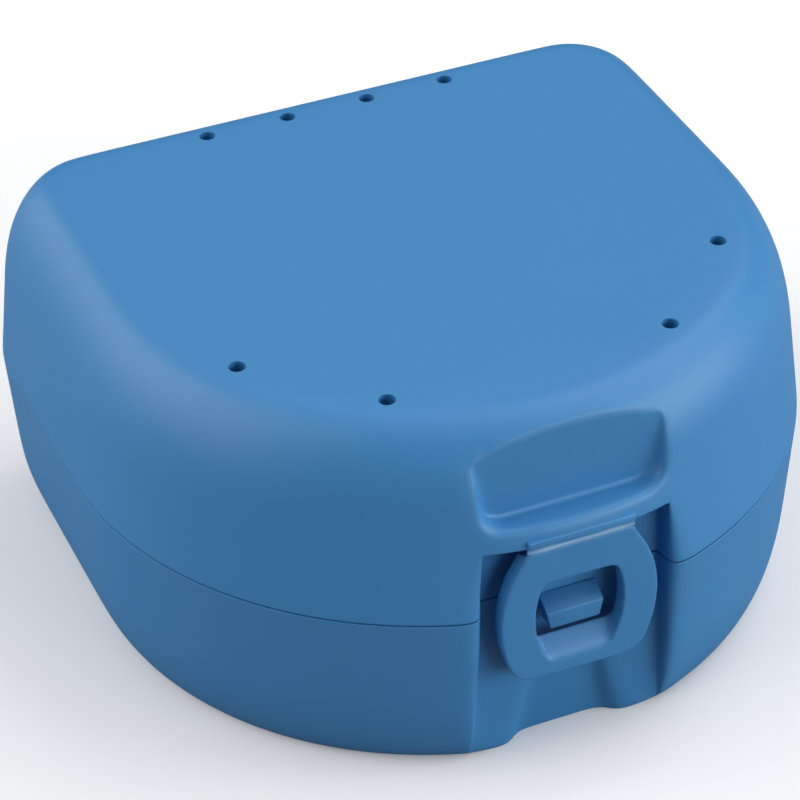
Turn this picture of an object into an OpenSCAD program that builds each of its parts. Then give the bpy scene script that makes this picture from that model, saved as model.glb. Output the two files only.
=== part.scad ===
// Small hinged case for a dental appliance, D-shaped in plan, closed by a front ring latch.
// One plastic moulding: a base and a lid joined by film hinges, and a latch hung on its own film.
// Millimetres. Z is up, the round front faces -Y, and the underside rests on Z = 0.

/* [Case outline] */
// Radius of the round front, half the width of the case
front_r = 42.5; // [40:0.5:50]
// From the centre of the round front to the flat back
back_y = 37.1; // [34:0.1:46]
// Radius of the two rear corners
corner_r = 12.7; // [11.5:0.1:18]
// Height of the closed case
case_h = 43.8; // [42.5:0.1:52]
// Height of the plane where lid and base meet
seam_z = 21.5; // [20.8:0.1:24]
// Gap that shows as the seam line
seam_gap = 0.2; // [0.1:0.05:0.4]
// Wall thickness
wall = 1.5; // [1:0.1:2]

/* [Lid] */
// Inward lean of the lid wall, degrees
lid_draft = 8.9; // [6:0.1:10]
// How far the rounded top edge runs in from the wall
top_round_w = 6.6; // [4:0.1:7.5]
// How far down the rounded top edge starts
top_round_h = 10.9; // [6:0.1:12]

/* [Base] */
// Inward lean of the base wall, degrees
base_draft = 5.2; // [3:0.1:7]
// How far the base wall draws in towards its foot
foot_round_w = 3.6; // [2.5:0.1:4.5]
// Height at which the base wall starts to draw in
foot_round_h = 13.2; // [8:0.1:14]

/* [Vent holes] */
// Diameter of a vent hole
vent_d = 1.9; // [1.2:0.1:3]
// Number of vents along the back
rear_vents = 4; // [2:1:5]
// Spacing of the vents along the back
rear_vent_pitch = 10; // [6:0.5:12]
// From the back of the case to the rear row of vents
rear_vent_in = 9.1; // [8.5:0.1:14]
// From the round front to the circle of front vents
front_vent_in = 9.8; // [9:0.1:14]
// Angle between neighbouring front vents, degrees
front_vent_step = 30; // [24:1:32]

/* [Locating rim] */
// Thickness of the rim that stands inside the lid
rim_t = 1.1; // [0.8:0.1:1.6]
// Height of the rim above the seam
rim_rise = 1.8; // [1:0.1:3]
// How far the rim runs down the inside of the base
rim_drop = 2.4; // [1.5:0.1:3]
// Clearance between the rim and the lid wall
rim_clear = 0.3; // [0.2:0.05:0.6]

/* [Front channel] */
// Half the width of the channel behind the latch
channel_half = 11.2; // [10.2:0.1:12]
// Depth of the channel behind the round front
channel_depth = 5; // [4.6:0.1:5.5]
// Radius of the rolled edges of the channel mouth
channel_roll = 1.6; // [0.8:0.1:2]
// Radius in the two inner corners of the channel
channel_corner = 1.2; // [0.6:0.1:2]
// Top of the channel above the seam, the underside of the band
band_low = 8.1; // [7.5:0.1:8.6]
// Height of the band that carries the latch
band_h = 2.45; // [2:0.05:3]

/* [Thumb scoop] */
// Half the width of the scoop at the foot of its back wall
scoop_foot_half = 9; // [8:0.1:9.5]
// Half the width of the scoop at the top of its back wall
scoop_top_half = 10.2; // [9.8:0.1:11]
// Half the width of the scoop's mouth
scoop_mouth_half = 10.8; // [10.4:0.1:11.4]
// Outward flare of the two side walls, degrees
scoop_flare = 41; // [30:1:50]
// Radius of the lower corners of the mouth
scoop_corner = 2.5; // [1.5:0.1:3]
// Radius along the front edge of the ledge
ledge_round = 0.9; // [0.4:0.1:1.2]

/* [Latch] */
// Half the width of the latch at its widest
latch_half = 9.25; // [9:0.05:9.8]
// Thickness of the latch
latch_t = 2; // [1.7:0.05:2.2]
// From the film down to the lower edge of the latch
latch_len = 17.7; // [16.8:0.1:18.5]
// From the film down to the widest level
latch_wide_at = 9.6; // [9:0.1:10]
// Radius of the bowed sides
latch_side_r = 16.2; // [14:0.1:20]
// Half the width of the latch at its film
latch_neck_half = 6.2; // [5.5:0.1:6.5]
// Radius where the neck flares into the sides
latch_neck_r = 2.5; // [1.5:0.1:4]
// Radius of the lower corners
latch_corner = 3.2; // [2:0.1:4]
// How far the latch face stands behind the round front
latch_set_back = 1.5; // [1.3:0.05:1.6]

/* [Latch window] */
// Half the width of the window at its widest
window_half = 5.2; // [4.8:0.05:5.6]
// Radius of the bowed window sides
window_side_r = 12; // [10:0.5:16]
// From the film down to the top of the window
window_top = 4.95; // [4.5:0.05:5.5]
// From the film down to the sill that catches under the hook
window_sill = 13.3; // [13:0.05:13.8]
// From the film down to where the sloping sill meets the face
window_foot = 15.9; // [15.2:0.1:16.2]
// Radius of the window corners
window_corner = 1.3; // [0.8:0.1:1.6]

/* [Latch film and tab] */
// Thickness of the latch film
film_t = 0.3; // [0.2:0.05:0.4]
// Height of the latch film
film_h = 0.6; // [0.5:0.05:0.8]
// Half the width of the tab that carries the film
tab_half = 6.15; // [5.5:0.05:6.5]
// Height of the tab
tab_h = 1; // [0.7:0.05:1.2]
// How far the tab stands proud of the film
tab_proud = 0.35; // [0.3:0.05:0.5]
// Chamfer along the foot of the tab, which clears the latch when it is folded up
tab_chamfer = 0.25; // [0.15:0.05:0.3]
// Lean of the tab's face, from its foot to its top
tab_lean = 0.1; // [0:0.05:0.2]
// Depth to which the tab is let into the band
tab_seat = 0.9; // [0.7:0.1:1.5]

/* [Catch hook] */
// Half the width of the hook at its top edge
hook_half = 3.4; // [3:0.1:3.8]
// Narrowing of each side of the hook towards its lower edge
hook_taper = 0.5; // [0.2:0.1:0.8]
// How far the hook stands out of the channel floor
hook_reach = 2.3; // [2.2:0.05:2.6]
// Height of the blunt front of the hook
hook_nose_h = 2.1; // [1.6:0.1:2.4]
// Rise of the sloping top from nose to root
hook_rise = 1.35; // [0.8:0.05:1.5]
// Gap between the latch sill and the underside of the hook
hook_gap = 0.95; // [0.5:0.05:1]

/* [Relief under the hook] */
// Half the width of the flat of the relief
relief_half = 4.4; // [4:0.1:5]
// Width of each curved flank of the relief
relief_flank = 2.4; // [1.5:0.1:3]
// Depth of the relief under the hook
relief_top_depth = 0.8; // [0.5:0.1:1]
// Depth of the relief at the foot of the case
relief_foot_depth = 1.6; // [1.2:0.1:2]

/* [Rear film hinges] */
// Outer radius of the folded film
rear_film_r = 0.95; // [0.7:0.05:1.2]
// Thickness of the film
rear_film_t = 0.35; // [0.25:0.05:0.5]
// Length of one film strip
rear_film_len = 20; // [12:0.5:22]
// Gap between the two strips
rear_film_gap = 15; // [8:0.5:16]

/* [Hidden] */

$fn = 96;
// Steps in a rounded edge and in a short arc
blend_steps = 12;
arc_steps = 10;
// Overrun of a cut past the surface, and of a cut that has to leave the case
over = 1;
far = 12;
// Insets are rounded to this, so that the curved and the straight sections meet exactly
snap = 0.001;

blue = [0.24, 0.49, 0.71];
deep_blue = [0.18, 0.41, 0.62];
pale_blue = [0.62, 0.77, 0.87];

base_top = seam_z - seam_gap / 2;
lid_foot = seam_z + seam_gap / 2;
top_round_z = case_h - top_round_h;
lid_lean = (top_round_z - seam_z) * tan(lid_draft);
base_lean = (seam_z - foot_round_h) * tan(base_draft);

floor_y = -(front_r - channel_depth);
band_z = seam_z + band_low;
ledge_z = band_z + band_h;
film_z = band_z - film_h / 2;
latch_front = -(front_r - latch_set_back);
latch_back = latch_front + latch_t;
hook_low = film_z - window_sill + hook_gap;
tab_front = latch_front - tab_proud;
tab_back = tab_front + tab_seat;

// The model is centred on its own length, from the tab to the folded rear film
mid_y = (back_y + rear_film_r + tab_front) / 2;

// Points of a circular arc
function arc(x, y, r, from, to) = [
    for (i = [0 : arc_steps])
        let (a = from + (to - from) * i / arc_steps)
            [x + r * cos(a), y + r * sin(a)]
];

// Wall line and rounded edge as [inset from the outline, height]; skin is the depth below the surface
function lid_rows(skin, start) = concat(
    [[skin + (start - seam_z) * tan(lid_draft), start]],
    [for (i = [0 : blend_steps])
        let (a = 90 * i / blend_steps)
            [skin + lid_lean + (top_round_w - skin) * (1 - cos(a)),
             top_round_z + (top_round_h - skin) * sin(a)]]
);
function base_rows(skin, start) = concat(
    [[skin + (seam_z - start) * tan(base_draft), start]],
    [for (i = [0 : blend_steps])
        let (a = 90 * i / blend_steps)
            [skin + base_lean + (foot_round_w - skin) * (1 - cos(a)),
             foot_round_h - (foot_round_h - skin) * sin(a)]]
);

// Section from the axis out to the rows, for an outline of radius r
module section(rows, r) {
    edge = [for (p = rows) [r - round(p[0] / snap) * snap, p[1]]];
    polygon(concat([[0, rows[0][1]]], edge, [[0, rows[len(rows) - 1][1]]]));
}

// Solid of D-shaped plan whose edge follows the rows all the way round
module d_solid(rows) {
    side_len = back_y - corner_r;
    rear_half = front_r - corner_r;
    rotate([0, 0, 180])
        rotate_extrude(angle = 180)
            section(rows, front_r);
    translate([0, side_len, 0])
        rotate([90, 0, 0])
            linear_extrude(side_len) {
                section(rows, front_r);
                mirror([1, 0])
                    section(rows, front_r);
            }
    for (side = [0, 1])
        mirror([side, 0, 0])
            translate([rear_half, side_len, 0])
                rotate_extrude(angle = 90)
                    section(rows, corner_r);
    translate([-rear_half, side_len, 0])
        rotate([90, 0, 90])
            linear_extrude(2 * rear_half)
                section(rows, corner_r);
}

// Plan of the channel, open to the front, with round inner corners and a rolled mouth
module channel_plan() {
    mouth_half = channel_half + channel_roll;
    mouth_y = -sqrt(pow(front_r, 2) - pow(mouth_half, 2));
    translate([-channel_half, floor_y - channel_depth - far])
        square([2 * channel_half, channel_depth + far - channel_corner]);
    translate([channel_corner - channel_half, floor_y - channel_corner - over])
        square([2 * (channel_half - channel_corner), channel_corner + over]);
    for (side = [-1, 1]) {
        translate([side * (channel_half - channel_corner), floor_y - channel_corner])
            circle(channel_corner);
        difference() {
            translate([side * channel_half + min(0, side) * channel_roll, mouth_y - far])
                square([channel_roll, channel_roll + far]);
            translate([side * mouth_half, mouth_y + channel_roll])
                circle(channel_roll);
        }
    }
}

// Block that keeps the inside wall behind the channel and the scoop
module channel_block(low, high, cover) {
    half = channel_half + cover;
    translate([-half, -front_r - over, low])
        cube([2 * half, front_r + over + floor_y + cover, high - low]);
}

// One of the two rings of points of the relief, at height z, depth behind the channel floor
function relief_ring(z, depth) = concat(
    [[-relief_half - relief_flank, floor_y - far, z]],
    [for (i = [0 : arc_steps])
        let (t = i / arc_steps)
            [-relief_half - relief_flank * (1 - t), floor_y + depth * (1 - cos(180 * t)) / 2, z]],
    [for (i = [0 : arc_steps])
        let (t = 1 - i / arc_steps)
            [relief_half + relief_flank * (1 - t), floor_y + depth * (1 - cos(180 * t)) / 2, z]],
    [[relief_half + relief_flank, floor_y - far, z]]
);

// Skin stretched from one ring of points up to another
module loft(low_ring, high_ring) {
    n = len(low_ring);
    polyhedron(
        concat(low_ring, high_ring),
        concat(
            [[for (i = [n - 1 : -1 : 0]) i]],
            [[for (i = [n : 2 * n - 1]) i]],
            [for (i = [0 : n - 1]) [i, (i + 1) % n, n + (i + 1) % n, n + i]]
        )
    );
}

// Hollow under the hook that lets the sill pass
module relief_cut() {
    slope = (relief_foot_depth - relief_top_depth) / hook_low;
    loft(relief_ring(-over, relief_foot_depth + slope * over), relief_ring(hook_low, relief_top_depth));
}

// Inside of the base, inset from the outer skin
module base_cavity(skin) {
    difference() {
        d_solid(base_rows(skin, seam_z + over));
        channel_block(0, seam_z + 2 * over, wall);
        relief_block();
    }
}

// Wall kept behind the relief
module relief_block() {
    half = relief_half + relief_flank + wall;
    translate([-half, -front_r - over, 0])
        cube([2 * half, front_r + over + floor_y + relief_foot_depth + wall, hook_low + wall]);
}

module base_shell() {
    color(blue)
        difference() {
            d_solid(base_rows(0, base_top));
            base_cavity(wall);
            translate([0, 0, -over])
                linear_extrude(base_top + 2 * over)
                    channel_plan();
            relief_cut();
        }
}

// Closed rim inside the mouth of the base, standing up into the lid
module locating_rim() {
    inner = wall + rim_clear + rim_t;
    low = seam_z - rim_drop;
    high = seam_z + rim_rise;
    color(deep_blue)
        difference() {
            union() {
                intersection() {
                    base_cavity(wall);
                    translate([-front_r, -front_r, low])
                        cube([2 * front_r, front_r + back_y, base_top - low]);
                }
                difference() {
                    d_solid([[wall + rim_clear, base_top],
                             [wall + rim_clear + (high - seam_z) * tan(lid_draft), high]]);
                    channel_block(base_top - over, high + over, wall + rim_clear);
                }
            }
            difference() {
                d_solid([[inner, low - over], [inner, high + over]]);
                channel_block(low - 2 * over, high + 2 * over, inner);
            }
        }
}

// Wedge that the latch sill snaps under
module catch_hook() {
    nose_top = hook_low + hook_nose_h;
    color(blue)
        intersection() {
            translate([-hook_half, floor_y, 0])
                rotate([90, 0, 90])
                    linear_extrude(2 * hook_half)
                        polygon([[0, hook_low], [-hook_reach, hook_low],
                                 [-hook_reach, nose_top], [0, nose_top + hook_rise]]);
            translate([0, floor_y, 0])
                rotate([90, 0, 0])
                    linear_extrude(hook_reach)
                        polygon([[hook_taper - hook_half, hook_low], [hook_half - hook_taper, hook_low],
                                 [hook_half, nose_top], [hook_half, nose_top + hook_rise],
                                 [-hook_half, nose_top + hook_rise], [-hook_half, nose_top]]);
        }
}

// Vertical holes through the top of the lid
module vents() {
    for (i = [0 : rear_vents - 1])
        translate([(i - (rear_vents - 1) / 2) * rear_vent_pitch, back_y - rear_vent_in, top_round_z])
            cylinder(d = vent_d, h = top_round_h + over);
    for (side = [-1, 1], step = [1, 2])
        rotate([0, 0, -90 + side * step * front_vent_step])
            translate([front_r - front_vent_in, 0, top_round_z])
                cylinder(d = vent_d, h = top_round_h + over);
}

// Plan of the scoop at height z, from its back wall out past the front
function scoop_ring(z, half) =
    let (mouth = half + far * tan(scoop_flare))
        [[-mouth, floor_y - far, z], [-half, floor_y, z], [half, floor_y, z], [mouth, floor_y - far, z]];

// Hollow above the band, with a flat back wall and flared sides
module scoop_cut() {
    high = case_h + over;
    intersection() {
        loft(scoop_ring(ledge_z, scoop_foot_half), scoop_ring(high, scoop_top_half));
        translate([0, -front_r + far, 0])
            rotate([90, 0, 0])
                linear_extrude(2 * far)
                    scoop_mouth(ledge_z - over, high + over);
    }
}

// Front view of the scoop's mouth
module scoop_mouth(low, high) {
    corner_z = ledge_z - ledge_round + scoop_corner;
    translate([-scoop_mouth_half, corner_z])
        square([2 * scoop_mouth_half, high - corner_z]);
    translate([scoop_corner - scoop_mouth_half, low])
        square([2 * (scoop_mouth_half - scoop_corner), high - low]);
    for (side = [-1, 1])
        translate([side * (scoop_mouth_half - scoop_corner), corner_z])
            circle(scoop_corner);
}

// Rounds the front edge of the ledge, which follows the round front
module ledge_rounding() {
    ledge_r = front_r - (ledge_z - seam_z) * tan(lid_draft);
    half_angle = asin((scoop_mouth_half - scoop_corner) / ledge_r);
    rotate([0, 0, -90 - half_angle])
        rotate_extrude(angle = 2 * half_angle)
            translate([ledge_r - ledge_round, ledge_z - ledge_round])
                difference() {
                    square(ledge_round + over);
                    circle(ledge_round);
                }
}

// Flat in the band where the tab is let in
module tab_seat_cut() {
    translate([-tab_half, -front_r - over, band_z - over])
        cube([2 * tab_half, front_r + over + tab_back, tab_h + over]);
}

module lid_shell() {
    color(blue)
        difference() {
            d_solid(lid_rows(0, lid_foot));
            difference() {
                d_solid(lid_rows(wall, lid_foot - over));
                channel_block(lid_foot - 2 * over, case_h, wall);
            }
            translate([0, 0, lid_foot - over])
                linear_extrude(band_z - lid_foot + over)
                    channel_plan();
            scoop_cut();
            ledge_rounding();
            tab_seat_cut();
            vents();
        }
}

// Outer edge of the latch, right half from the lower edge up to the neck
function latch_edge() =
    let (
        side_x = latch_half - latch_side_r,
        side_z = -latch_wide_at,
        foot_z = -latch_len + latch_corner,
        foot_x = side_x + sqrt(pow(latch_side_r - latch_corner, 2) - pow(foot_z - side_z, 2)),
        foot_a = atan2(foot_z - side_z, foot_x - side_x),
        neck_x = latch_neck_half + latch_neck_r,
        neck_z = side_z + sqrt(pow(latch_side_r + latch_neck_r, 2) - pow(neck_x - side_x, 2)),
        neck_a = atan2(neck_z - side_z, neck_x - side_x),
        top_a = 180 + asin(min(1, (neck_z + film_h / 2) / latch_neck_r))
    )
    concat(
        arc(foot_x, foot_z, latch_corner, -90, foot_a),
        arc(side_x, side_z, latch_side_r, foot_a, neck_a),
        arc(neck_x, neck_z, latch_neck_r, 180 + neck_a, top_a)
    );

// Window edge, right half from its foot up to its top
function window_edge() =
    let (
        side_x = window_half - window_side_r,
        side_z = -latch_wide_at,
        foot_z = -window_foot + window_corner,
        top_z = -window_top - window_corner,
        reach = window_side_r - window_corner,
        foot_x = side_x + sqrt(pow(reach, 2) - pow(foot_z - side_z, 2)),
        foot_a = atan2(foot_z - side_z, foot_x - side_x),
        top_x = side_x + sqrt(pow(reach, 2) - pow(top_z - side_z, 2)),
        top_a = atan2(top_z - side_z, top_x - side_x)
    )
    concat(
        arc(foot_x, foot_z, window_corner, -90, foot_a),
        arc(side_x, side_z, window_side_r, foot_a, top_a),
        arc(top_x, top_z, window_corner, top_a, 90)
    );

// Closed outline from its right half
function both_sides(edge) = concat(edge, [for (i = [len(edge) - 1 : -1 : 0]) [-edge[i][0], edge[i][1]]]);

// Ring that hangs from the film and is pulled out and up by its lower edge
module latch_ring() {
    color(blue)
        difference() {
            translate([0, latch_back, film_z])
                rotate([90, 0, 0])
                    linear_extrude(latch_t)
                        polygon(both_sides(latch_edge()));
            difference() {
                translate([0, latch_back + over, film_z])
                    rotate([90, 0, 0])
                        linear_extrude(latch_t + 2 * over)
                            polygon(both_sides(window_edge()));
                translate([-latch_half, 0, film_z])
                    rotate([90, 0, 90])
                        linear_extrude(2 * latch_half)
                            polygon([[latch_back + 2 * over, -window_sill], [latch_back, -window_sill],
                                     [latch_front, -window_foot], [latch_front - 2 * over, -window_foot],
                                     [latch_front - 2 * over, -latch_len], [latch_back + 2 * over, -latch_len]]);
            }
            translate([-latch_half, 0, film_z - film_h / 2])
                rotate([90, 0, 90])
                    linear_extrude(2 * latch_half)
                        polygon([[latch_front + film_t, over], [latch_front + film_t, 0],
                                 [latch_back + over, film_t - latch_t - over], [latch_back + over, over]]);
        }
}

// Thin web that the latch folds on
module latch_film() {
    color(pale_blue)
        translate([-tab_half, latch_front, film_z - film_h / 2])
            cube([2 * tab_half, film_t, film_h]);
}

// Straight-faced tab on the band, from which the film hangs
module hinge_tab() {
    color(blue)
        translate([-tab_half, 0, band_z])
            rotate([90, 0, 90])
                linear_extrude(2 * tab_half)
                    polygon([[tab_back, 0], [tab_front + tab_chamfer, 0], [tab_front, tab_chamfer],
                             [tab_front + tab_lean, tab_h], [tab_back, tab_h]]);
}

// Film strip folded round the hinge line at the back; side is -1 for the left one
module rear_film(side) {
    start = side < 0 ? -rear_film_gap / 2 - rear_film_len : rear_film_gap / 2;
    color(pale_blue)
        difference() {
            translate([start, back_y, seam_z])
                rotate([90, 0, 90])
                    linear_extrude(rear_film_len)
                        difference() {
                            circle(rear_film_r);
                            circle(rear_film_r - rear_film_t);
                            translate([-2 * rear_film_r - rear_film_t, -rear_film_r])
                                square(2 * rear_film_r);
                        }
            d_solid(base_rows(0, base_top));
            d_solid(lid_rows(0, lid_foot));
        }
}

module rear_film_left() rear_film(-1);
module rear_film_right() rear_film(1);

// Moves a part so that the case is centred over the origin
module placed() translate([0, -mid_y, 0]) children();

placed() base_shell();
placed() locating_rim();
placed() catch_hook();
placed() rear_film_left();
placed() rear_film_right();
placed() lid_shell();
placed() hinge_tab();
placed() latch_film();
placed() latch_ring();
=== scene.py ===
import math

import bmesh
import bpy
from mathutils import Euler, Matrix, Vector


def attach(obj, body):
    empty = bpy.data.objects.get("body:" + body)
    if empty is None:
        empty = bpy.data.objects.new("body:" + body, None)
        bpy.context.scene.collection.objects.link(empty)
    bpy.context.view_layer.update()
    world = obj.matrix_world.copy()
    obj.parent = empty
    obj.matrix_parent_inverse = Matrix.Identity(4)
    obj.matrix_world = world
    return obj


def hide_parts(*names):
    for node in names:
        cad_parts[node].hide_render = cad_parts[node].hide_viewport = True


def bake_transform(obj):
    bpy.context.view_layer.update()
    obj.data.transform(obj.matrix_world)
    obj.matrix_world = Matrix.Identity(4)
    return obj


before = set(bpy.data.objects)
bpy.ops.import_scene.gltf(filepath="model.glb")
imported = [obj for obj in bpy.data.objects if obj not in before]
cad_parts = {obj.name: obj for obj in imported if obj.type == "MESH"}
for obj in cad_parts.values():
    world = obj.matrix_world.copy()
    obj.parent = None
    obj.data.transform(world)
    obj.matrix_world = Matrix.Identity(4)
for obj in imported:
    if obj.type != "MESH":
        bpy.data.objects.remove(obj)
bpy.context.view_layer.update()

mm = 0.001
arcY = 1.65              # centre of the round front, mm along Y in the row frame
print("frame loaded:", len(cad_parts), "nodes")


# small tools for edit mode; places are in mm, seen from the centre of the round front

def at(x, y, z):
    return Vector((x * mm, (y + arcY) * mm, z * mm))


def spot(co):
    return co.x / mm, co.y / mm - arcY, co.z / mm


def turn(x, y):
    return math.degrees(math.atan2(x, -y))      # 0 straight ahead, + to the right


def fade(share):
    share = min(1, max(0, share))
    return share * share * (3 - 2 * share)


def near(a, b, slack=0.012):
    return abs(a - b) < slack


def startEdit(name):
    obj = bpy.context.object
    obj.name = obj.data.name = name
    bpy.ops.object.transform_apply(location=True, rotation=True, scale=True)
    bpy.ops.object.mode_set(mode="EDIT")
    bpy.ops.mesh.select_mode(type="VERT")
    bpy.ops.mesh.select_all(action="SELECT")


def endEdit():
    bpy.ops.mesh.select_all(action="SELECT")
    bpy.ops.mesh.normals_make_consistent(inside=False)
    bpy.ops.object.mode_set(mode="OBJECT")
    return bpy.context.object


def choose(*objs):
    bpy.ops.object.select_all(action="DESELECT")
    for obj in objs:
        obj.select_set(True)
    if objs:
        bpy.context.view_layer.objects.active = objs[0]


def pick(kind, test):
    bpy.ops.mesh.select_mode(type=kind)
    bpy.ops.mesh.select_all(action="DESELECT")
    mesh = bpy.context.edit_object.data
    bm = bmesh.from_edit_mesh(mesh)
    found = 0
    for part in {"VERT": bm.verts, "EDGE": bm.edges, "FACE": bm.faces}[kind]:
        if kind == "FACE":
            hit = test(*spot(part.calc_center_median()))
        elif kind == "EDGE":
            hit = all(test(*spot(v.co)) for v in part.verts)
        else:
            hit = test(*spot(part.co))
        if hit:
            part.select_set(True)
            found += 1
    bm.select_flush_mode()
    bmesh.update_edit_mesh(mesh)
    return found


def settle(rule):
    mesh = bpy.context.edit_object.data
    bm = bmesh.from_edit_mesh(mesh)
    for v in bm.verts:
        if v.select:
            v.co = at(*rule(*spot(v.co)))
    bmesh.update_edit_mesh(mesh)


def crease(value, test):
    if pick("EDGE", test):
        bpy.ops.transform.edge_crease(value=value)


def apply(obj, kind, **settings):
    choose(obj)
    mod = obj.modifiers.new(kind.title(), kind)
    for key, value in settings.items():
        setattr(mod, key, value)
    bpy.ops.object.modifier_apply(modifier=mod.name)


def roundEdges(obj, width, segments=3, angle=25):
    apply(obj, "BEVEL", width=width * mm, segments=segments, limit_method="ANGLE", angle_limit=math.radians(angle))


def smooth(obj, angle=35):
    choose(obj)
    bpy.ops.object.shade_smooth_by_angle(angle=math.radians(angle))


# camera, at the photograph's viewing angle

view = {"place": (-0.12106, -0.28373, 0.24691), "tilt": 53.79, "around": -22.44, "roll": -1.38,
        "lens": 150.11}


def setCamera(v):
    data = bpy.data.cameras.new("viewCamera")
    data.lens = v["lens"]
    data.sensor_width = 36
    data.clip_start = 0.01
    cam = bpy.data.objects.new("viewCamera", data)
    bpy.context.scene.collection.objects.link(cam)
    aim = Euler((math.radians(v["tilt"]), 0, math.radians(v["around"]))).to_matrix()
    aim = aim @ Matrix.Rotation(math.radians(v["roll"]), 3, "Z")
    cam.matrix_world = Matrix.Translation(v["place"]) @ aim.to_4x4()
    bpy.context.scene.camera = cam


setCamera(view)
print("camera set")


# the two shells: a D outline is spun, drawn up or down row by row, and pressed in at the front

case = {"frontR": 42.5, "backY": 37.1, "cornerR": 12.7, "seamZ": 21.5, "wall": 1.5, "rim": 0.2, "fine": 2,
        "frontY": -30, "floorY": -37.5, "mouthHalf": 10.8, "roll": 2.6, "leastRoll": 0.3, "rollShare": 0.6,
        "ease": 0.22, "innerHalf": 12.7, "innerRoll": 2, "innerY": -36.0, "innerSteps": (0, 35, 65, 90)}
rearHalf = case["frontR"] - case["cornerR"]
sideLen = case["backY"] - case["cornerR"]

# columns of faces round the front, in degrees from straight ahead
columns = {"around": 72, "fineTo": 20, "edge": 15, "beside": 17.5, "blendTo": 30, "frontY": -25}


def dSkin(name, rows, mouth, front=None):
    inset, z = rows[0]
    r = case["frontR"] - inset
    choose()
    bpy.ops.mesh.primitive_circle_add(vertices=columns["around"], radius=r * mm, fill_type="NOTHING",
                                      location=at(0, 0, z))
    startEdit(name)
    pick("VERT", lambda x, y, z: y > 0.01)
    bpy.ops.mesh.delete(type="VERT")
    pick("VERT", lambda x, y, z: near(y, 0))
    for step in range(3):
        bpy.ops.mesh.extrude_region_move(TRANSFORM_OT_translate={"value": (0, sideLen / 3 * mm, 0)})
    for side in (1, -1):
        pick("VERT", lambda x, y, z: near(y, sideLen) and x * side > 0)
        bpy.ops.mesh.spin(steps=8, angle=-side * math.pi / 2, center=at(side * rearHalf, sideLen, z),
                          axis=(0, 0, 1))
    pick("VERT", lambda x, y, z: near(y, case["backY"] - inset))
    bpy.ops.mesh.edge_face_add()
    bpy.ops.mesh.subdivide(number_cuts=6)
    # twice as many columns at the front recess
    pick("EDGE", lambda x, y, z: abs(turn(x, y)) < columns["fineTo"] + 0.1)
    bpy.ops.mesh.subdivide(number_cuts=1)
    pick("VERT", lambda x, y, z: abs(turn(x, y)) < columns["fineTo"] + 0.1)
    settle(lambda x, y, z: (x * r / math.hypot(x, y), y * r / math.hypot(x, y), z))
    bpy.ops.mesh.select_all(action="SELECT")
    bpy.ops.mesh.edge_face_add()
    flat = bmesh.from_edit_mesh(bpy.context.edit_object.data).faces
    flat.ensure_lookup_table()
    if flat[0].normal.z * (rows[-1][1] - z) < 0:
        bpy.ops.mesh.flip_normals()
    for below, above in zip(rows, rows[1:]):
        bpy.ops.mesh.inset(thickness=(above[0] - below[0]) * mm, depth=abs(above[1] - below[1]) * mm)

    if front:
        pick("VERT", lambda x, y, z: y < 0.01)
        settle(front)

    # the edge columns move to the edges of the recess, and the next ones lie a roll further out
    def column(x, y, z):
        r, a = math.hypot(x, y), abs(turn(x, y))
        half, roll = mouth(z)
        edge, beside = (math.degrees(math.asin(w / r)) for w in (half + case["ease"] * roll, half + roll))
        if a < columns["edge"] + 0.5:
            a *= edge / columns["edge"]
        elif a < columns["beside"] + 0.5:
            a = beside
        else:
            wider = (columns["blendTo"] - beside) / (columns["blendTo"] - columns["beside"])
            a = columns["blendTo"] - (columns["blendTo"] - a) * wider
        return math.copysign(r * math.sin(math.radians(a)), x), -r * math.cos(math.radians(a)), z
    pick("VERT", lambda x, y, z: abs(turn(x, y)) < columns["blendTo"] + 0.1 and y < columns["frontY"])
    settle(column)


def pressIn(where, *rules):
    pick("FACE", where)
    for rule in rules:
        bpy.ops.mesh.extrude_region_move()
        settle(rule)


def inMouth(mouth, x, y, z):
    half, roll = mouth(z)
    return abs(x) < half + case["ease"] * roll and y < case["frontY"]


def pressChannel(low, high, mouth, floor):
    # the edges roll in before the walls go straight back to the floor
    def sink(x, y, z):
        half, roll = mouth(z)
        edge = near(abs(x), half + case["ease"] * roll, 0.06) and y < case["floorY"] - 0.5
        return x, y + case["ease"] * roll if edge else y, z

    def rollIn(x, y, z):
        half, roll = mouth(z)
        deep = max(0, case["floorY"] - y)
        step = min((1 - case["ease"]) * roll, case["rollShare"] * deep)
        return (math.copysign(min(abs(x), half), x) if deep > 0.1 else x), y + step, z
    pick("VERT", lambda x, y, z: low - 0.01 < z < high + 0.01 and inMouth(mouth, x * 0.99, y, z))
    settle(sink)
    pressIn(lambda x, y, z: low < z < high and inMouth(mouth, x, y, z), rollIn, floor)


def weld():
    bpy.ops.mesh.select_all(action="SELECT")
    bpy.ops.mesh.remove_doubles(threshold=0.02 * mm)


def innerMouth(z):
    return case["innerHalf"], case["innerRoll"]


def openEnd(level):
    pick("FACE", lambda x, y, z: near(z, level))
    bpy.ops.mesh.delete(type="FACE")


def closeEnd(level, flat, sharp=0):
    openEnd(level)
    pick("EDGE", lambda x, y, z: near(z, level))
    bpy.ops.mesh.edge_face_add()
    if sharp:
        bpy.ops.transform.edge_crease(value=sharp)
    bpy.ops.mesh.inset(thickness=flat * mm)


def joinSkins(outer, inner, level):
    # the inner skin is held well above the outer one while the two edges are bridged, so that they pair up
    lift = 100
    choose(inner)
    bpy.ops.transform.translate(value=(0, 0, lift * mm))
    choose(outer, inner)
    bpy.ops.object.join()
    bpy.ops.object.mode_set(mode="EDIT")
    pick("EDGE", lambda x, y, z: near(z, level) or near(z, level + lift))
    bpy.ops.mesh.bridge_edge_loops()
    pick("VERT", lambda x, y, z: z > lift - 20)
    bpy.ops.transform.translate(value=(0, 0, -lift * mm))
    pick("FACE", lambda x, y, z: near(z, level))
    bpy.ops.mesh.inset(thickness=case["rim"] * mm)
    return endEdit()


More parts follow.
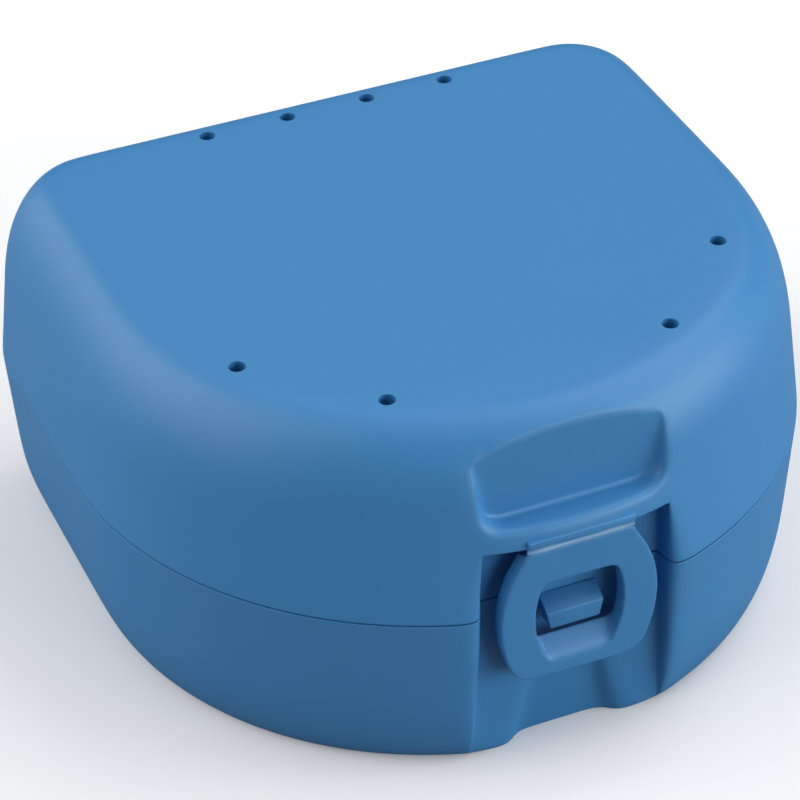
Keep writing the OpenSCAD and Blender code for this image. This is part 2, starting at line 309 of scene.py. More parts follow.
def leanInset(v, skin, z):
    return skin + abs(z - case["seamZ"]) * math.tan(math.radians(v["lean"]))


def wallInset(v, skin, z):
    # how far the wall stands in at height z: a leaning wall, then a quarter of an ellipse added to the lean
    past = abs(z - case["seamZ"]) - abs(v["roundZ"] - case["seamZ"])
    share = min(1, max(0, past) / (v["roundH"] - skin))
    return leanInset(v, skin, z) + (v["roundW"] - skin) * (1 - math.sqrt(1 - share * share))


def drawRows(v, skin, levels, steps, swell=0.0):
    # [inset, height] of each row; swell makes up for what the subdivision takes off the rounding
    way = 1 if v["roundZ"] > v["foot"] else -1
    rows = [(wallInset(v, skin, z), z) for z in (v["foot"], v["foot"] + way * case["rim"], *levels)]
    width, height = v["roundW"] - skin, v["roundH"] - skin
    for a in steps:
        grow = swell if 0 < a < 90 else 0
        sin, cos = (f(math.radians(a)) * (1 + grow) for f in (math.sin, math.cos))
        z = v["roundZ"] + way * height * sin
        rows.append((leanInset(v, skin, z) + width * (1 - cos), z))
    return rows


def rollAt(v, z, most):
    # radius of the rolled edge of the channel, less where the channel gets shallow
    r = case["frontR"] - wallInset(v, 0, z)
    deep = math.sqrt(r * r - case["mouthHalf"] ** 2) + case["floorY"]
    return max(case["leastRoll"], min(most, case["rollShare"] * deep))


# the lid's walls lean in more at the front, up to frontTurn degrees, than at the sides, from sideTurn
lidSides = {"foot": 21.6, "lean": 6.5, "roundZ": 32.5, "roundW": 5.6, "roundH": 11.3,
            "steps": (20, 32, 45, 60, 75, 90), "swell": 0.011, "flat": 4.0}
lid = {"foot": 21.6, "lean": 8.25, "roundZ": 35.5, "roundW": 5.15, "roundH": 8.3, "frontTurn": 25, "sideTurn": 60,
       "between": 25.7, "bandLow": 29.6, "bandUnder": 0.3, "bandCorner": 0.25, "ledge": 32.05,
       "scoopY": -37.45, "scoopHalf": 10.6, "scoopCorner": 2.3, "scoopTop": 41.5, "widen": 0.055, "flare": 20,
       "soft": 0.9, "softShare": 0.4, "rimShare": 0.3, "rimSlack": 0.15, "fillet": 0.8,
       "bendFrom": 16.2, "bendTo": 29, "topCrease": 0.45, "cornerCrease": 0.9}


def lidShell(v):
    rim = v["ledge"] - case["ease"] * v["soft"]
    levels = (v["between"], v["bandLow"] - v["bandUnder"], v["bandLow"], v["bandLow"] + v["bandCorner"],
              v["ledge"] - v["soft"], rim, v["ledge"] + v["fillet"], v["ledge"] + v["scoopCorner"])
    rows = drawRows(lidSides, 0, levels, lidSides["steps"], lidSides["swell"])
    rows.append((rows[-1][0] + lidSides["flat"], rows[-1][1]))

    def front(x, y, z):
        share = fade((v["sideTurn"] - abs(turn(x, y))) / (v["sideTurn"] - v["frontTurn"]))
        more = share * (wallInset(v, 0, z) - wallInset(lidSides, 0, z)) / math.hypot(x, y)
        return x * (1 - more), y * (1 - more), z

    def halfAt(z):
        return v["scoopHalf"] + v["widen"] * max(0, z - v["ledge"] - v["scoopCorner"])

    def mouth(z):
        if z > v["ledge"] - v["soft"] - 0.01:
            return halfAt(z), v["soft"]
        share = max(0, v["bandLow"] - z) / (v["bandLow"] - v["foot"])
        return case["mouthHalf"], rollAt(v, z, v["bandCorner"] + (case["roll"] - v["bandCorner"]) * share)
    dSkin("lidOuter", rows, mouth, front)

    # place in the front view, counted from the centre of the nearest lower corner of the scoop
    def fromCorner(x, z):
        return abs(x) - halfAt(z) + v["scoopCorner"], z - v["ledge"] - v["scoopCorner"]

    def toCorner(x, u, w):
        z = v["ledge"] + v["scoopCorner"] + w
        return math.copysign(halfAt(z) - v["scoopCorner"] + u, x), z

    def roundCorner(x, y, z):
        u, w = fromCorner(x, z)
        s = max(abs(u), abs(w))
        if u <= 0 or w >= 0 or s > v["scoopCorner"] + v["soft"] + 0.05:
            return x, y, z
        u, w = u * math.sqrt(1 - w * w / (2 * s * s)), w * math.sqrt(1 - u * u / (2 * s * s))
        x, z = toCorner(x, u, w)
        return x, -math.sqrt((case["frontR"] - wallInset(v, 0, z)) ** 2 - x * x), z
    pick("VERT", lambda x, y, z: y < case["frontY"] and abs(x) < v["scoopHalf"] + v["soft"] + 0.05)
    settle(roundCorner)

    def inScoop(x, y, z, slack=0.0):
        u, w = fromCorner(x, z)
        reach = v["scoopCorner"] + case["ease"] * v["soft"] + slack
        return y < case["frontY"] and (math.hypot(u, w) < reach if u > 0 > w else u < reach and w > -reach)

    # the three upper rows bend up round the top of the scoop, and beside it the bend fades out
    for share, (inset, level) in zip((0, 1 / 3, 2 / 3), rows[-5:-2]):
        def bend(x, y, z, share=share):
            turned = math.radians(turn(x, y))
            reach = -v["scoopY"] / math.cos(min(abs(turned), math.radians(v["bendFrom"])))
            own = math.asin(min(1, (z - v["roundZ"]) / v["roundH"]))
            a = math.pi / 4
            for step in range(30):      # closes in on the angle where the rounding meets the scoop's back
                z = v["roundZ"] + v["roundH"] * math.sin(a)
                a = math.acos(1 - (case["frontR"] - leanInset(v, 0, z) - reach) / v["roundW"])
            a += (math.pi / 2 - a) * share
            kept = fade((v["bendTo"] - abs(math.degrees(turned))) / (v["bendTo"] - v["bendFrom"]))
            a = own + (a - own) * kept
            z = v["roundZ"] + v["roundH"] * math.sin(a)
            r = case["frontR"] - leanInset(v, 0, z) - v["roundW"] * (1 - math.cos(a))
            return r * math.sin(turned), -r * math.cos(turned), z
        pick("VERT", lambda x, y, z: near(z, level) and y < 0 and abs(turn(x, y)) < v["bendTo"])
        settle(bend)

    # channel behind the latch, below the band
    pressChannel(v["foot"], v["bandLow"], mouth, lambda x, y, z: (x, max(y, case["floorY"]), z))
    openEnd(v["foot"])

    # thumb scoop above the band: its rim sinks a little, then the walls go in, flared, to the back wall;
    # each press goes a share of the way but at most so far, or else stops short of the back wall
    def press(share, most, short):
        def rule(x, y, z):
            u, w = fromCorner(x, z)
            far = math.hypot(u, w)
            if u > 0 > w and far > v["scoopCorner"]:
                u, w = u * v["scoopCorner"] / far, w * v["scoopCorner"] / far
            x, z = toCorner(x, min(u, v["scoopCorner"]), max(w, -v["scoopCorner"]))
            deep = max(0, v["scoopY"] - y)
            step = max(min(share * deep, most), deep - short)
            return x * (1 - step * math.tan(math.radians(v["flare"])) / v["scoopHalf"]), y + step, z
        return rule
    ease, slack, far = case["ease"] * v["soft"], v["rimSlack"], 99
    pick("VERT", lambda x, y, z: inScoop(x, y, z, slack) and not inScoop(x, y, z, -slack) and z < v["scoopTop"])
    settle(lambda x, y, z: (x, y + min(ease, v["rimShare"] * max(0, v["scoopY"] - y)), z))
    pressIn(lambda x, y, z: inScoop(x, y, z) and y < v["scoopY"], press(v["softShare"], v["soft"] - ease, far),
            press(0, 0, v["fillet"]), press(1, far, far))
    weld()
    crease(v["topCrease"], lambda x, y, z: near(y, v["scoopY"]) and z > v["scoopTop"] - 1.5)

    # sharp upper corners of the channel's mouth
    corner = case["mouthHalf"] + case["ease"] * case["leastRoll"]
    crease(v["cornerCrease"], lambda x, y, z: near(abs(x), corner, 0.1) and y < case["floorY"] - 1.5
           and v["bandLow"] - v["bandUnder"] - 0.05 < z < v["bandLow"] + 0.01)
    outer = endEdit()

    rows = drawRows(v, case["wall"], (), case["innerSteps"])
    ceiling = rows[-1][1]
    rows.append((rows[-1][0] + lidSides["flat"], ceiling))
    dSkin("lidInner", rows, innerMouth)
    pressIn(lambda x, y, z: v["foot"] < z < ceiling - 0.3 and inMouth(innerMouth, x, y, z),
            lambda x, y, z: (x, y + max(0, case["innerY"] - y) / 2, z),
            lambda x, y, z: (x, max(y, case["innerY"]), z))
    openEnd(v["foot"])
    weld()
    return joinSkins(outer, endEdit(), v["foot"])


base = {"foot": 21.4, "lean": 4.25, "roundZ": 9.6, "roundW": 2.56, "roundH": 9.6, "between": 13.2,
        "steps": (0, 18, 36, 54, 72, 90), "swell": 0.016, "footCrease": 0.5, "footFlat": 2.5,
        "reliefTop": 16.95, "reliefStep": 17.5, "reliefDepth": (0.8, 1.65), "reliefX": (0, 2.4, 4.8, 5.9, 7.0, 9.1),
        "narrow": 0.034, "narrowest": 0.7, "spread": 0.035, "spreadTop": 17,
        "plainFloorTop": 18, "innerFlare": 0.08, "flareTop": 6, "innerFlat": 0.8}


def baseShell(v):
    def mouth(z):
        return case["mouthHalf"] + v["spread"] * max(0, v["spreadTop"] - z), rollAt(v, z, case["roll"])
    rows = drawRows(v, 0, (v["reliefStep"], v["reliefTop"], v["between"]), v["steps"], v["swell"])
    dSkin("baseOuter", rows, mouth)

    # channel down to the foot, with the relief under the hook pressed in further; column 3 is its flank
    def channel(x, y, z):
        short = case["floorY"] - y
        if short < 0.01:
            return x, y, z
        column = min(6, round(abs(x) / case["mouthHalf"] * 6))
        if column > 4:      # beside the walls the floor fades out where the channel gets shallow
            return x, y + min(1, max(0, (short - 0.2) / 0.6)) * short, z
        if abs(x) > 0.1:
            x = math.copysign(v["reliefX"][column] * max(v["narrowest"], 1 - v["narrow"] * z), x)
        deep = 0
        if z < v["reliefTop"] + 0.01 and column < 4:
            top, low = v["reliefDepth"]
            deep = top + (low - top) * (1 - z / v["reliefTop"])
            deep *= 0.5 if column == 3 else 1
        return x, case["floorY"] + deep, z
    pressChannel(0.05, v["foot"], mouth, channel)
    openEnd(v["foot"])
    weld()
    closeEnd(0, v["footFlat"], v["footCrease"])
    outer = endEdit()

    # inside, the wall behind the channel slopes back with the relief
    rows = drawRows(v, case["wall"], (), case["innerSteps"])
    dSkin("baseInner", rows, innerMouth)
    floor = case["wall"]

    def behind(z):
        low = 1 - (z - floor) / (v["plainFloorTop"] - floor)
        return case["innerY"] + v["reliefDepth"][1] * max(0, low)

    # the corners behind the channel lean together near the floor, which keeps the floor's faces from folding
    def pressBack(share):
        def rule(x, y, z):
            narrower = 1 - share * v["innerFlare"] * fade((v["flareTop"] - z) / (v["flareTop"] - floor))
            return x * narrower, y + share * max(0, behind(z) - y), z
        return rule
    pressIn(lambda x, y, z: floor + 0.05 < z < v["foot"] and inMouth(innerMouth, x, y, z),
            pressBack(0.5), pressBack(1))
    openEnd(v["foot"])
    weld()
    closeEnd(floor, v["innerFlat"])
    return joinSkins(outer, endEdit(), v["foot"])


# a row of vent holes along the back and an arc of them along the front
vents = {"d": 1.9, "flare": 0.16, "cut": 4, "rearY": 28.0, "rearX": (-15, -5, 5, 15),
         "frontR": 32.7, "frontTurn": (-60, -30, 30, 60)}


def cutVents(shell, v):
    choose()
    top = lid["roundZ"] + lid["roundH"]
    bpy.ops.mesh.primitive_cylinder_add(vertices=32, radius=v["d"] / 2 * mm, depth=v["cut"] * mm,
                                        location=at(0, 0, top - v["flare"] - v["cut"] / 2))
    startEdit("ventPin")
    pick("FACE", lambda x, y, z: z > top - v["flare"] - 0.01)
    bpy.ops.mesh.inset(thickness=-v["flare"] * mm, depth=v["flare"] * mm)
    bpy.ops.mesh.extrude_region_move(TRANSFORM_OT_translate={"value": (0, 0, mm)})
    pin = endEdit()
    places = [(x, v["rearY"]) for x in v["rearX"]]
    turns = [math.radians(a) for a in v["frontTurn"]]
    places += [(v["frontR"] * math.sin(a), -v["frontR"] * math.cos(a)) for a in turns]
    pins = []
    for x, y in places:
        choose(pin)
        bpy.ops.object.duplicate()
        bpy.ops.object.mode_set(mode="EDIT")
        bpy.ops.mesh.select_all(action="SELECT")
        bpy.ops.transform.translate(value=(x * mm, y * mm, 0))
        bpy.ops.object.mode_set(mode="OBJECT")
        pins.append(bpy.context.object)
    choose(*pins)
    bpy.ops.object.join()
    cutter = bpy.context.object
    apply(shell, "BOOLEAN", operation="DIFFERENCE", solver="EXACT", object=cutter)
    bpy.data.objects.remove(pin)
    bpy.data.objects.remove(cutter)


lidPiece = lidShell(lid)
apply(lidPiece, "SUBSURF", levels=case["fine"], render_levels=case["fine"])
cutVents(lidPiece, vents)
lidPiece.name = lidPiece.data.name = "lidSkin"
smooth(lidPiece)
print("lid skin:", len(lidPiece.data.polygons), "faces")

basePiece = baseShell(base)
apply(basePiece, "SUBSURF", levels=case["fine"], render_levels=case["fine"])
basePiece.name = basePiece.data.name = "baseSkin"
smooth(basePiece)
print("base skin:", len(basePiece.data.polygons), "faces")


# the latch: a ring with a window, hung from a thin film under a tab on the band

latch = {"filmZ": 29.3, "front": -41.0, "thick": 2.0, "edge": 0.42, "half": 9.2, "long": 17.7, "wideAt": 9.6,
         "upperR": 14, "lowerR": 16.2, "neckHalf": 6.2, "neckR": 3, "topDrop": 0.3, "corner": 2.8,
         "windowHalf": 5.2, "windowR": 12, "windowTop": 4.95, "windowFoot": 15.9, "windowCorner": 1.3,
         "sillZ": 16.0, "sillSwell": 0.35, "sillDrop": 0.5, "foldFrom": 0.3, "foldFall": 0.8}


def arc(cx, cz, r, start, end, steps):
    angles = [math.radians(start + (end - start) * i / steps) for i in range(steps + 1)]
    return [(cx + r * math.cos(a), cz + r * math.sin(a)) for a in angles]


def bothSides(edge, low, high):
    # right half from the middle of the foot to the middle of the top, then the left half back down
    foot = [(edge[0][0] * i / low, edge[0][1]) for i in range(low)]
    head = [(edge[-1][0] * (1 - i / high), edge[-1][1]) for i in range(1, high + 1)]
    right = foot + edge + head
    return right + [(-x, z) for x, z in right[-2:0:-1]]


def ringOutline(v):
    cz = -v["wideAt"]
    upX, lowX = v["half"] - v["upperR"], v["half"] - v["lowerR"]
    footZ = v["corner"] - v["long"]
    footX = lowX + math.sqrt((v["lowerR"] - v["corner"]) ** 2 - (footZ - cz) ** 2)
    footA = math.degrees(math.atan2(footZ - cz, footX - lowX))
    neckX = v["neckHalf"] + v["neckR"]
    neckZ = cz + math.sqrt((v["upperR"] + v["neckR"]) ** 2 - (neckX - upX) ** 2)
    neckA = math.degrees(math.atan2(neckZ - cz, neckX - upX))
    topA = 180 + math.degrees(math.asin((neckZ + v["topDrop"]) / v["neckR"]))
    edge = arc(footX, footZ, v["corner"], -90, footA, 4) + arc(lowX, cz, v["lowerR"], footA, 0, 4)[1:]
    edge += arc(upX, cz, v["upperR"], 0, neckA, 6)[1:]
    edge += arc(neckX, neckZ, v["neckR"], 180 + neckA, topA, 2)[1:]
    return bothSides(edge, 3, 4)


def windowOutline(v):
    cx, cz = v["windowHalf"] - v["windowR"], -v["wideAt"]
    reach = v["windowR"] - v["windowCorner"]
    footZ, topZ = v["windowCorner"] - v["windowFoot"], -v["windowTop"] - v["windowCorner"]
    footX, topX = (cx + math.sqrt(reach ** 2 - (z - cz) ** 2) for z in (footZ, topZ))
    footA = math.degrees(math.atan2(footZ - cz, footX - cx))
    topA = math.degrees(math.atan2(topZ - cz, topX - cx))
    edge = arc(footX, footZ, v["windowCorner"], -90, footA, 4) + arc(cx, cz, v["windowR"], footA, topA, 9)[1:]
    edge += arc(topX, topZ, v["windowCorner"], topA, 90, 3)[1:]
    return bothSides(edge, 3, 4)


def latchRing(v):
    loops = ringOutline(v), windowOutline(v)
    choose()
    bpy.ops.mesh.primitive_circle_add(vertices=len(loops[0]), radius=mm, fill_type="NOTHING")
    startEdit("latchRing")
    bpy.ops.mesh.primitive_circle_add(vertices=len(loops[1]), radius=0.5 * mm, fill_type="NOTHING")
    mesh = bpy.context.edit_object.data
    bm = bmesh.from_edit_mesh(mesh)
    bm.verts.ensure_lookup_table()
    for vert, (x, z) in zip(bm.verts, loops[0] + loops[1]):
        vert.co = at(x, v["front"], z + v["filmZ"])
    bmesh.update_edit_mesh(mesh)
    bpy.ops.mesh.select_all(action="SELECT")
    bpy.ops.mesh.select_mode(type="EDGE")
    bpy.ops.mesh.bridge_edge_loops()
    bpy.ops.mesh.select_all(action="SELECT")
    bpy.ops.mesh.inset(thickness=v["edge"] * mm)
    bpy.ops.mesh.select_all(action="SELECT")
    for step in (v["edge"], v["thick"] - 2 * v["edge"], v["edge"]):
        bpy.ops.mesh.extrude_region_move(TRANSFORM_OT_translate={"value": (0, step * mm, 0)})
    weld()
    foot = v["filmZ"] - v["windowFoot"]
    cornerX, cornerZ = windowOutline(v)[3][0], foot + v["windowCorner"]

    # the sill slopes from the foot of the window up to its back edge, with a wide soft front
    def sill(x, y, z):
        deep = (y - v["front"]) / v["thick"]
        border = z < cornerZ and math.hypot(max(0, abs(x) - cornerX), z - cornerZ) > v["windowCorner"] + 0.2
        if deep < 0.01:
            return x, y, z - v["sillDrop"] if border and abs(x) < cornerX + 0.1 else z
        level = foot + (v["sillZ"] - foot) * deep + (v["sillSwell"] if deep < 0.5 else 0)
        return x, y, max(z, level - v["edge"] if border else level)
    pick("VERT", lambda x, y, z: abs(x) < v["windowHalf"] + 0.5 and foot - 0.6 < z < v["sillZ"] + 0.3)
    settle(sill)

    # behind the film the top edge falls away, so that the latch can fold up
    top, back = v["filmZ"] - v["topDrop"], v["front"] + v["foldFrom"]
    pick("VERT", lambda x, y, z: z > top - 0.01 - v["edge"] and y > back)
    settle(lambda x, y, z: (x, y, min(z, top - (y - back) * v["foldFall"])))
    return endEdit()


ringPiece = latchRing(latch)
apply(ringPiece, "SUBSURF", levels=2, render_levels=2)
smooth(ringPiece)
print("latch ring:", len(ringPiece.data.polygons), "faces")


tab = {"half": 6.15, "back": -40.3, "front": -41.35, "foot": 29.6, "tall": 1.0, "chamfer": 0.25, "lean": 0.05,
       "soft": 0.15}


def block(name, low, high):
    choose()
    bpy.ops.mesh.primitive_cube_add(size=1)
    startEdit(name)
    size = [b - a for a, b in zip(low, high)]
    bpy.ops.transform.resize(value=[c * mm for c in size])
    bpy.ops.transform.translate(value=at(*[(a + b) / 2 for a, b in zip(low, high)]))


def hingeTab(v):
    block("hingeTab", (-v["half"], v["front"], v["foot"]), (v["half"], v["back"], v["foot"] + v["tall"]))
    pick("VERT", lambda x, y, z: z > v["foot"] + 0.5 and near(y, v["front"]))
    settle(lambda x, y, z: (x, y + v["lean"], z))
    pick("EDGE", lambda x, y, z: near(z, v["foot"]) and near(y, v["front"]))
    bpy.ops.mesh.bevel(offset=v["chamfer"] * mm, segments=1, affect="EDGES")
    piece = endEdit()
    roundEdges(piece, v["soft"])
    smooth(piece)
    return piece


tabPiece = hingeTab(tab)


film = {"half": 6.2, "front": -41.0, "thick": 0.3, "foot": 28.95, "head": 29.68, "groove": 0.07}


def latchFilm(v):
    block("latchFilm", (-v["half"], v["front"], v["foot"]), (v["half"], v["front"] + v["thick"], v["head"]))
    bpy.ops.mesh.select_all(action="SELECT")
    bpy.ops.mesh.subdivide(number_cuts=9)
    middle = (v["foot"] + v["head"]) / 2
    pick("VERT", lambda x, y, z: near(z, middle, 0.05))
    settle(lambda x, y, z: (x, y + v["groove"] * (1 if y < v["front"] + v["thick"] / 2 else -1), z))
    piece = endEdit()
    apply(piece, "SUBSURF", levels=1, render_levels=1)
    smooth(piece, 60)
    return piece


filmPiece = latchFilm(film)


hook = {"half": 3.4, "taper": 0.5, "root": -37.6, "nose": -39.8, "foot": 16.95, "noseTall": 2.1, "rise": 1.35,
        "soft": 0.16}


def catchHook(v):
    top = v["foot"] + v["noseTall"]
    block("catchHook", (-v["half"], v["nose"], v["foot"]), (v["half"], v["root"], top))
    pick("VERT", lambda x, y, z: near(z, v["foot"]))
    settle(lambda x, y, z: (x - math.copysign(v["taper"], x), y, z))
    pick("VERT", lambda x, y, z: near(z, top) and near(y, v["root"]))
    settle(lambda x, y, z: (x, y, z + v["rise"]))
    piece = endEdit()
    roundEdges(piece, v["soft"])
    smooth(piece)
    return piece


hookPiece = catchHook(hook)
print("tab, film and hook made")


# two strips bent round the hinge line; past is how many degrees beyond a half turn each end goes into its wall
rear = {"r": 0.949, "thick": 0.35, "long": 20, "gap": 15, "y": 37.1, "z": 21.5, "past": 10, "soft": 0.1}


def rearFilm(name, side, v):
    choose()
    bpy.ops.mesh.primitive_plane_add(size=1)
    startEdit(name)
    bpy.ops.transform.resize(value=(v["long"] * mm, v["thick"] * mm, 1))
    middle = side * (v["gap"] + v["long"]) / 2
    bpy.ops.transform.translate(value=at(middle, v["y"] + v["r"] - v["thick"] / 2, v["z"]))
    # starts just inside the base wall and ends just inside the lid wall
    hinge = at(0, v["y"], v["z"])
    turned = math.radians(90 + v["past"])
    mesh = bpy.context.edit_object.data
    bm = bmesh.from_edit_mesh(mesh)
    bmesh.ops.rotate(bm, verts=bm.verts, cent=hinge, matrix=Matrix.Rotation(-turned, 3, "X"))
    bmesh.update_edit_mesh(mesh)
    bpy.ops.mesh.select_all(action="SELECT")
    bpy.ops.mesh.spin(steps=16, angle=-2 * turned, center=hinge, axis=(1, 0, 0))
    bpy.ops.mesh.select_all(action="SELECT")
    bpy.ops.mesh.fill_holes(sides=4)
    piece = endEdit()
    roundEdges(piece, v["soft"], 2, 60)
    smooth(piece)
    return piece


rearPieces = [rearFilm("rearFilmLeft", -1, rear), rearFilm("rearFilmRight", 1, rear)]
print("rear films made")


# finishes

class Flow:
    # one socket of a shader tree; sums and products of flows add Math nodes
    def __init__(self, tree, socket=None):
        self.tree, self.socket = tree, socket

    def node(self, kind, settings=None, values=None, out=0):
        made = self.tree.nodes.new(kind)
        for key, value in (settings or {}).items():
            if key == "stops":
                ramp = made.color_ramp
                while len(ramp.elements) < len(value):
                    ramp.elements.new(0.5)
                for stop, (place, tone) in zip(ramp.elements, value):
                    stop.position, stop.color = place, (*tone, 1)
            else:
                setattr(made, key, value)
        for key, value in (values or {}).items():
            if isinstance(value, Flow):
                self.tree.links.new(value.socket, made.inputs[key])
            else:
                made.inputs[key].default_value = value
        return Flow(self.tree, made.outputs[out])

    def maths(self, operation, first, second=None):
        values = {0: first} if second is None else {0: first, 1: second}
        return self.node("ShaderNodeMath", {"operation": operation}, values)

    def __add__(self, other):
        return self.maths("ADD", self, other)

    def __sub__(self, other):
        return self.maths("SUBTRACT", self, other)

    def __rsub__(self, other):
        return self.maths("SUBTRACT", other, self)

    def __mul__(self, other):
        return self.maths("MULTIPLY", self, other)

    __radd__ = __add__
    __rmul__ = __mul__


plastic = {"tone": (0.047, 0.235, 0.52), "deep": (0.040, 0.215, 0.490), "grainInTone": 0.3,
           "rough": 0.45, "roughGrain": 0.10, "roughClouds": 0.06, "clouds": 38, "grain": 5200,
           "grainDepth": 0.00006, "grainStrength": 0.5}

# the plastic goes pale where it folds, and the thinner pale line from 29.55 to 29.7 mm is a painted highlight on
# the tab's lower edge: (height in mm, how pale) from the ring over the film to the tab
foldWhiteningAndSheen = {"pale": (0.34, 0.57, 0.80), "half": 6.2, "middle": 0.4, "end": 1.8, "atEnds": 0.4,
        "streaks": (420, 420, 5200), "betweenStreaks": 0.4, "low": 28.3, "high": 30.1,
        "share": ((28.4, 0), (28.8, 0.15), (28.98, 0.5), (29.1, 1), (29.22, 0.85), (29.32, 0.5), (29.42, 0.25),
                  (29.55, 0.5), (29.7, 0.25), (29.95, 0))}


def mixTone(flow, share, first, second):
    return flow.node("ShaderNodeMix", {"data_type": "RGBA"}, {0: share, 6: first, 7: second}, out=2)


# how pale each point is: whitening along the folded film, plus a painted highlight along the tab's lower edge
def whiteningAndSheenShare(flow, place, v):
    across, height = (flow.node("ShaderNodeSeparateXYZ", {}, {0: place}, out=axis) * 1000 for axis in ("X", "Z"))
    tall = v["high"] - v["low"]
    stops = [((z - v["low"]) / tall, (pale,) * 3) for z, pale in v["share"]]
    pale = flow.node("ShaderNodeValToRGB", {"stops": stops}, {0: (height - v["low"]) * (1 / tall)})
    sides = flow.node("ShaderNodeMath", {"operation": "MULTIPLY", "use_clamp": True},
                      {0: v["half"] - flow.maths("ABSOLUTE", across - v["middle"]), 1: 1 / v["end"]})
    streaky = flow.node("ShaderNodeVectorMath", {"operation": "MULTIPLY"}, {0: place, 1: v["streaks"]})
    streaks = flow.node("ShaderNodeTexNoise", {}, {"Vector": streaky, "Scale": 1.0, "Detail": 2.0})
    return pale * (v["atEnds"] + sides * (1 - v["atEnds"])) * (v["betweenStreaks"] + streaks)


def blueFinish(name, v, whiteningAndSheen=None):
    mat = bpy.data.materials.new(name)
    mat.use_nodes = True
    tree = mat.node_tree
    flow = Flow(tree)
    shader = tree.nodes["Principled BSDF"]
    place = flow.node("ShaderNodeTexCoord", out="Object")
    clouds = flow.node("ShaderNodeTexNoise", {}, {"Vector": place, "Scale": v["clouds"], "Detail": 2.0})
    grain = flow.node("ShaderNodeTexNoise", {},
                      {"Vector": place, "Scale": v["grain"], "Detail": 3.0, "Roughness": 0.6})
    mottle = clouds * (1 - v["grainInTone"]) + grain * v["grainInTone"]
    tone = mixTone(flow, mottle, (*v["deep"], 1), (*v["tone"], 1))
    # paler where the film folds, and a painted highlight along the tab's lower edge
    if whiteningAndSheen:
        tone = mixTone(flow, whiteningAndSheenShare(flow, place, whiteningAndSheen), tone, (*whiteningAndSheen["pale"], 1))
    tree.links.new(tone.socket, shader.inputs["Base Color"])
    rough = v["rough"] + (grain - 0.5) * v["roughGrain"] + (clouds - 0.5) * v["roughClouds"]
    tree.links.new(rough.socket, shader.inputs["Roughness"])
    bump = flow.node("ShaderNodeBump", {},
                     {"Height": grain, "Strength": v["grainStrength"], "Distance": v["grainDepth"]})
    tree.links.new(bump.socket, shader.inputs["Normal"])
    return mat


bluePlastic = blueFinish("bluePlastic", plastic)
# the finish for the ring, tab and film: whitened at the fold, with a painted highlight on the tab's lower edge
whitenedPlasticWithSheen = blueFinish("whitenedPlasticWithSheen", plastic, foldWhiteningAndSheen)
for piece in (lidPiece, basePiece, ringPiece, tabPiece, filmPiece, hookPiece, *rearPieces):
    piece.data.materials.clear()
    piece.data.materials.append(whitenedPlasticWithSheen if piece in (ringPiece, tabPiece, filmPiece) else bluePlastic)
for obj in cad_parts.values():
    for place in obj.material_slots:
        place.material = bluePlastic
print("finishes set")


# what moves with what

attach(lidPiece, "lid")
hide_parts("lid_shell")
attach(basePiece, "base")
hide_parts("base_shell")
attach(ringPiece, "latch")
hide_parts("latch_ring")
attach(tabPiece, "lid")
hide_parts("hinge_tab")
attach(hookPiece, "base")
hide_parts("catch_hook")
at(0, -40.85, 29.6)
at(0, -40.85, 29.0)
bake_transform(filmPiece)
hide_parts("latch_film")
for piece, node in zip(rearPieces, ("rear_film_left", "rear_film_right")):
    at(0, 37.5, 20.8)
    at(0, 37.5, 22.2)
    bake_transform(piece)
    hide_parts(node)


# plain stage and light: the floor glows to white further out, and each lamp is (place, size, watts)

light = {"sky": 0.03, "floor": (0.86, 0.86, 0.86), "floorBounce": (0.26, 0.26, 0.26),
         "glow": ((0.10, (0.10, 0.10, 0.10)), (0.55, (1, 1, 1))), "floorSize": 6, "aim": (0, 0, 0.02),
         "lamps": {"top": ((0.0, 0.3, 1.1), (2.4, 2.4), 9.5), "topRight": ((0.6, 0.0, 0.8), (0.9, 0.9), 4.4),
                   "left": ((-1.1, 0.1, 0.6), (1.2, 1.2), 9.3), "leftRear": ((-0.7, 0.7, 0.35), (0.9, 0.7), 3.4),
                   "rightFront": ((0.7, -0.7, 0.28), (1.4, 0.5), 9.5)}}


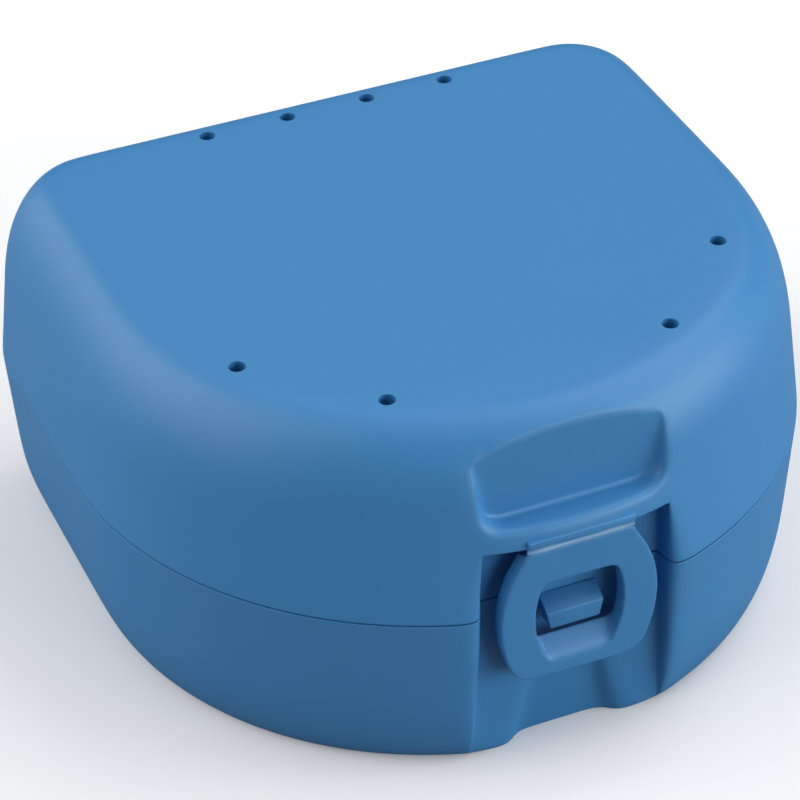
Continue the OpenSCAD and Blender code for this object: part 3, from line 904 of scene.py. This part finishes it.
def floorPaint(v):
    mat = bpy.data.materials.new("floorPaint")
    mat.use_nodes = True
    tree = mat.node_tree
    flow = Flow(tree)
    seenPaint = tree.nodes["Principled BSDF"]
    seenPaint.inputs["Base Color"].default_value = (*v["floor"], 1)
    seenPaint.inputs["Roughness"].default_value = 0.9
    place = flow.node("ShaderNodeTexCoord", out="Object")
    away = flow.node("ShaderNodeVectorMath", {"operation": "LENGTH"}, {0: place}, out="Value")
    glow = flow.node("ShaderNodeValToRGB", {"stops": v["glow"]}, {0: away})
    tree.links.new(glow.socket, seenPaint.inputs["Emission Color"])
    seenPaint.inputs["Emission Strength"].default_value = 1
    bouncePaint = flow.node("ShaderNodeBsdfDiffuse", {}, {"Color": (*v["floorBounce"], 1)})
    seen = flow.node("ShaderNodeLightPath", out="Is Camera Ray")
    seenFlow = Flow(tree, seenPaint.outputs[0])
    both = flow.node("ShaderNodeMixShader", {}, {0: seen, 1: bouncePaint, 2: seenFlow})
    tree.links.new(both.socket, tree.nodes["Material Output"].inputs["Surface"])
    return mat


def setStage(v):
    choose()
    bpy.ops.mesh.primitive_plane_add(size=v["floorSize"])
    floor = bpy.context.object
    floor.name = "floor"
    floor.data.materials.append(floorPaint(v))
    world = bpy.data.worlds.new("studio")
    bpy.context.scene.world = world
    world.use_nodes = True
    tree = world.node_tree
    seen = Flow(tree).node("ShaderNodeLightPath", out="Is Camera Ray")
    back = tree.nodes["Background"]
    back.inputs["Color"].default_value = (1, 1, 1, 1)
    tree.links.new((v["sky"] + seen * (1 - v["sky"])).socket, back.inputs["Strength"])
    for name, (place, size, energy) in v["lamps"].items():
        data = bpy.data.lights.new(name, "AREA")
        data.shape = "RECTANGLE"
        data.size, data.size_y = size
        data.energy = energy
        lamp = bpy.data.objects.new(name, data)
        bpy.context.scene.collection.objects.link(lamp)
        lamp.location = place
        lamp.rotation_euler = (Vector(place) - Vector(v["aim"])).to_track_quat("Z", "Y").to_euler()


setStage(light)
bpy.context.scene.view_settings.view_transform = "Standard"
print("stage and light set")
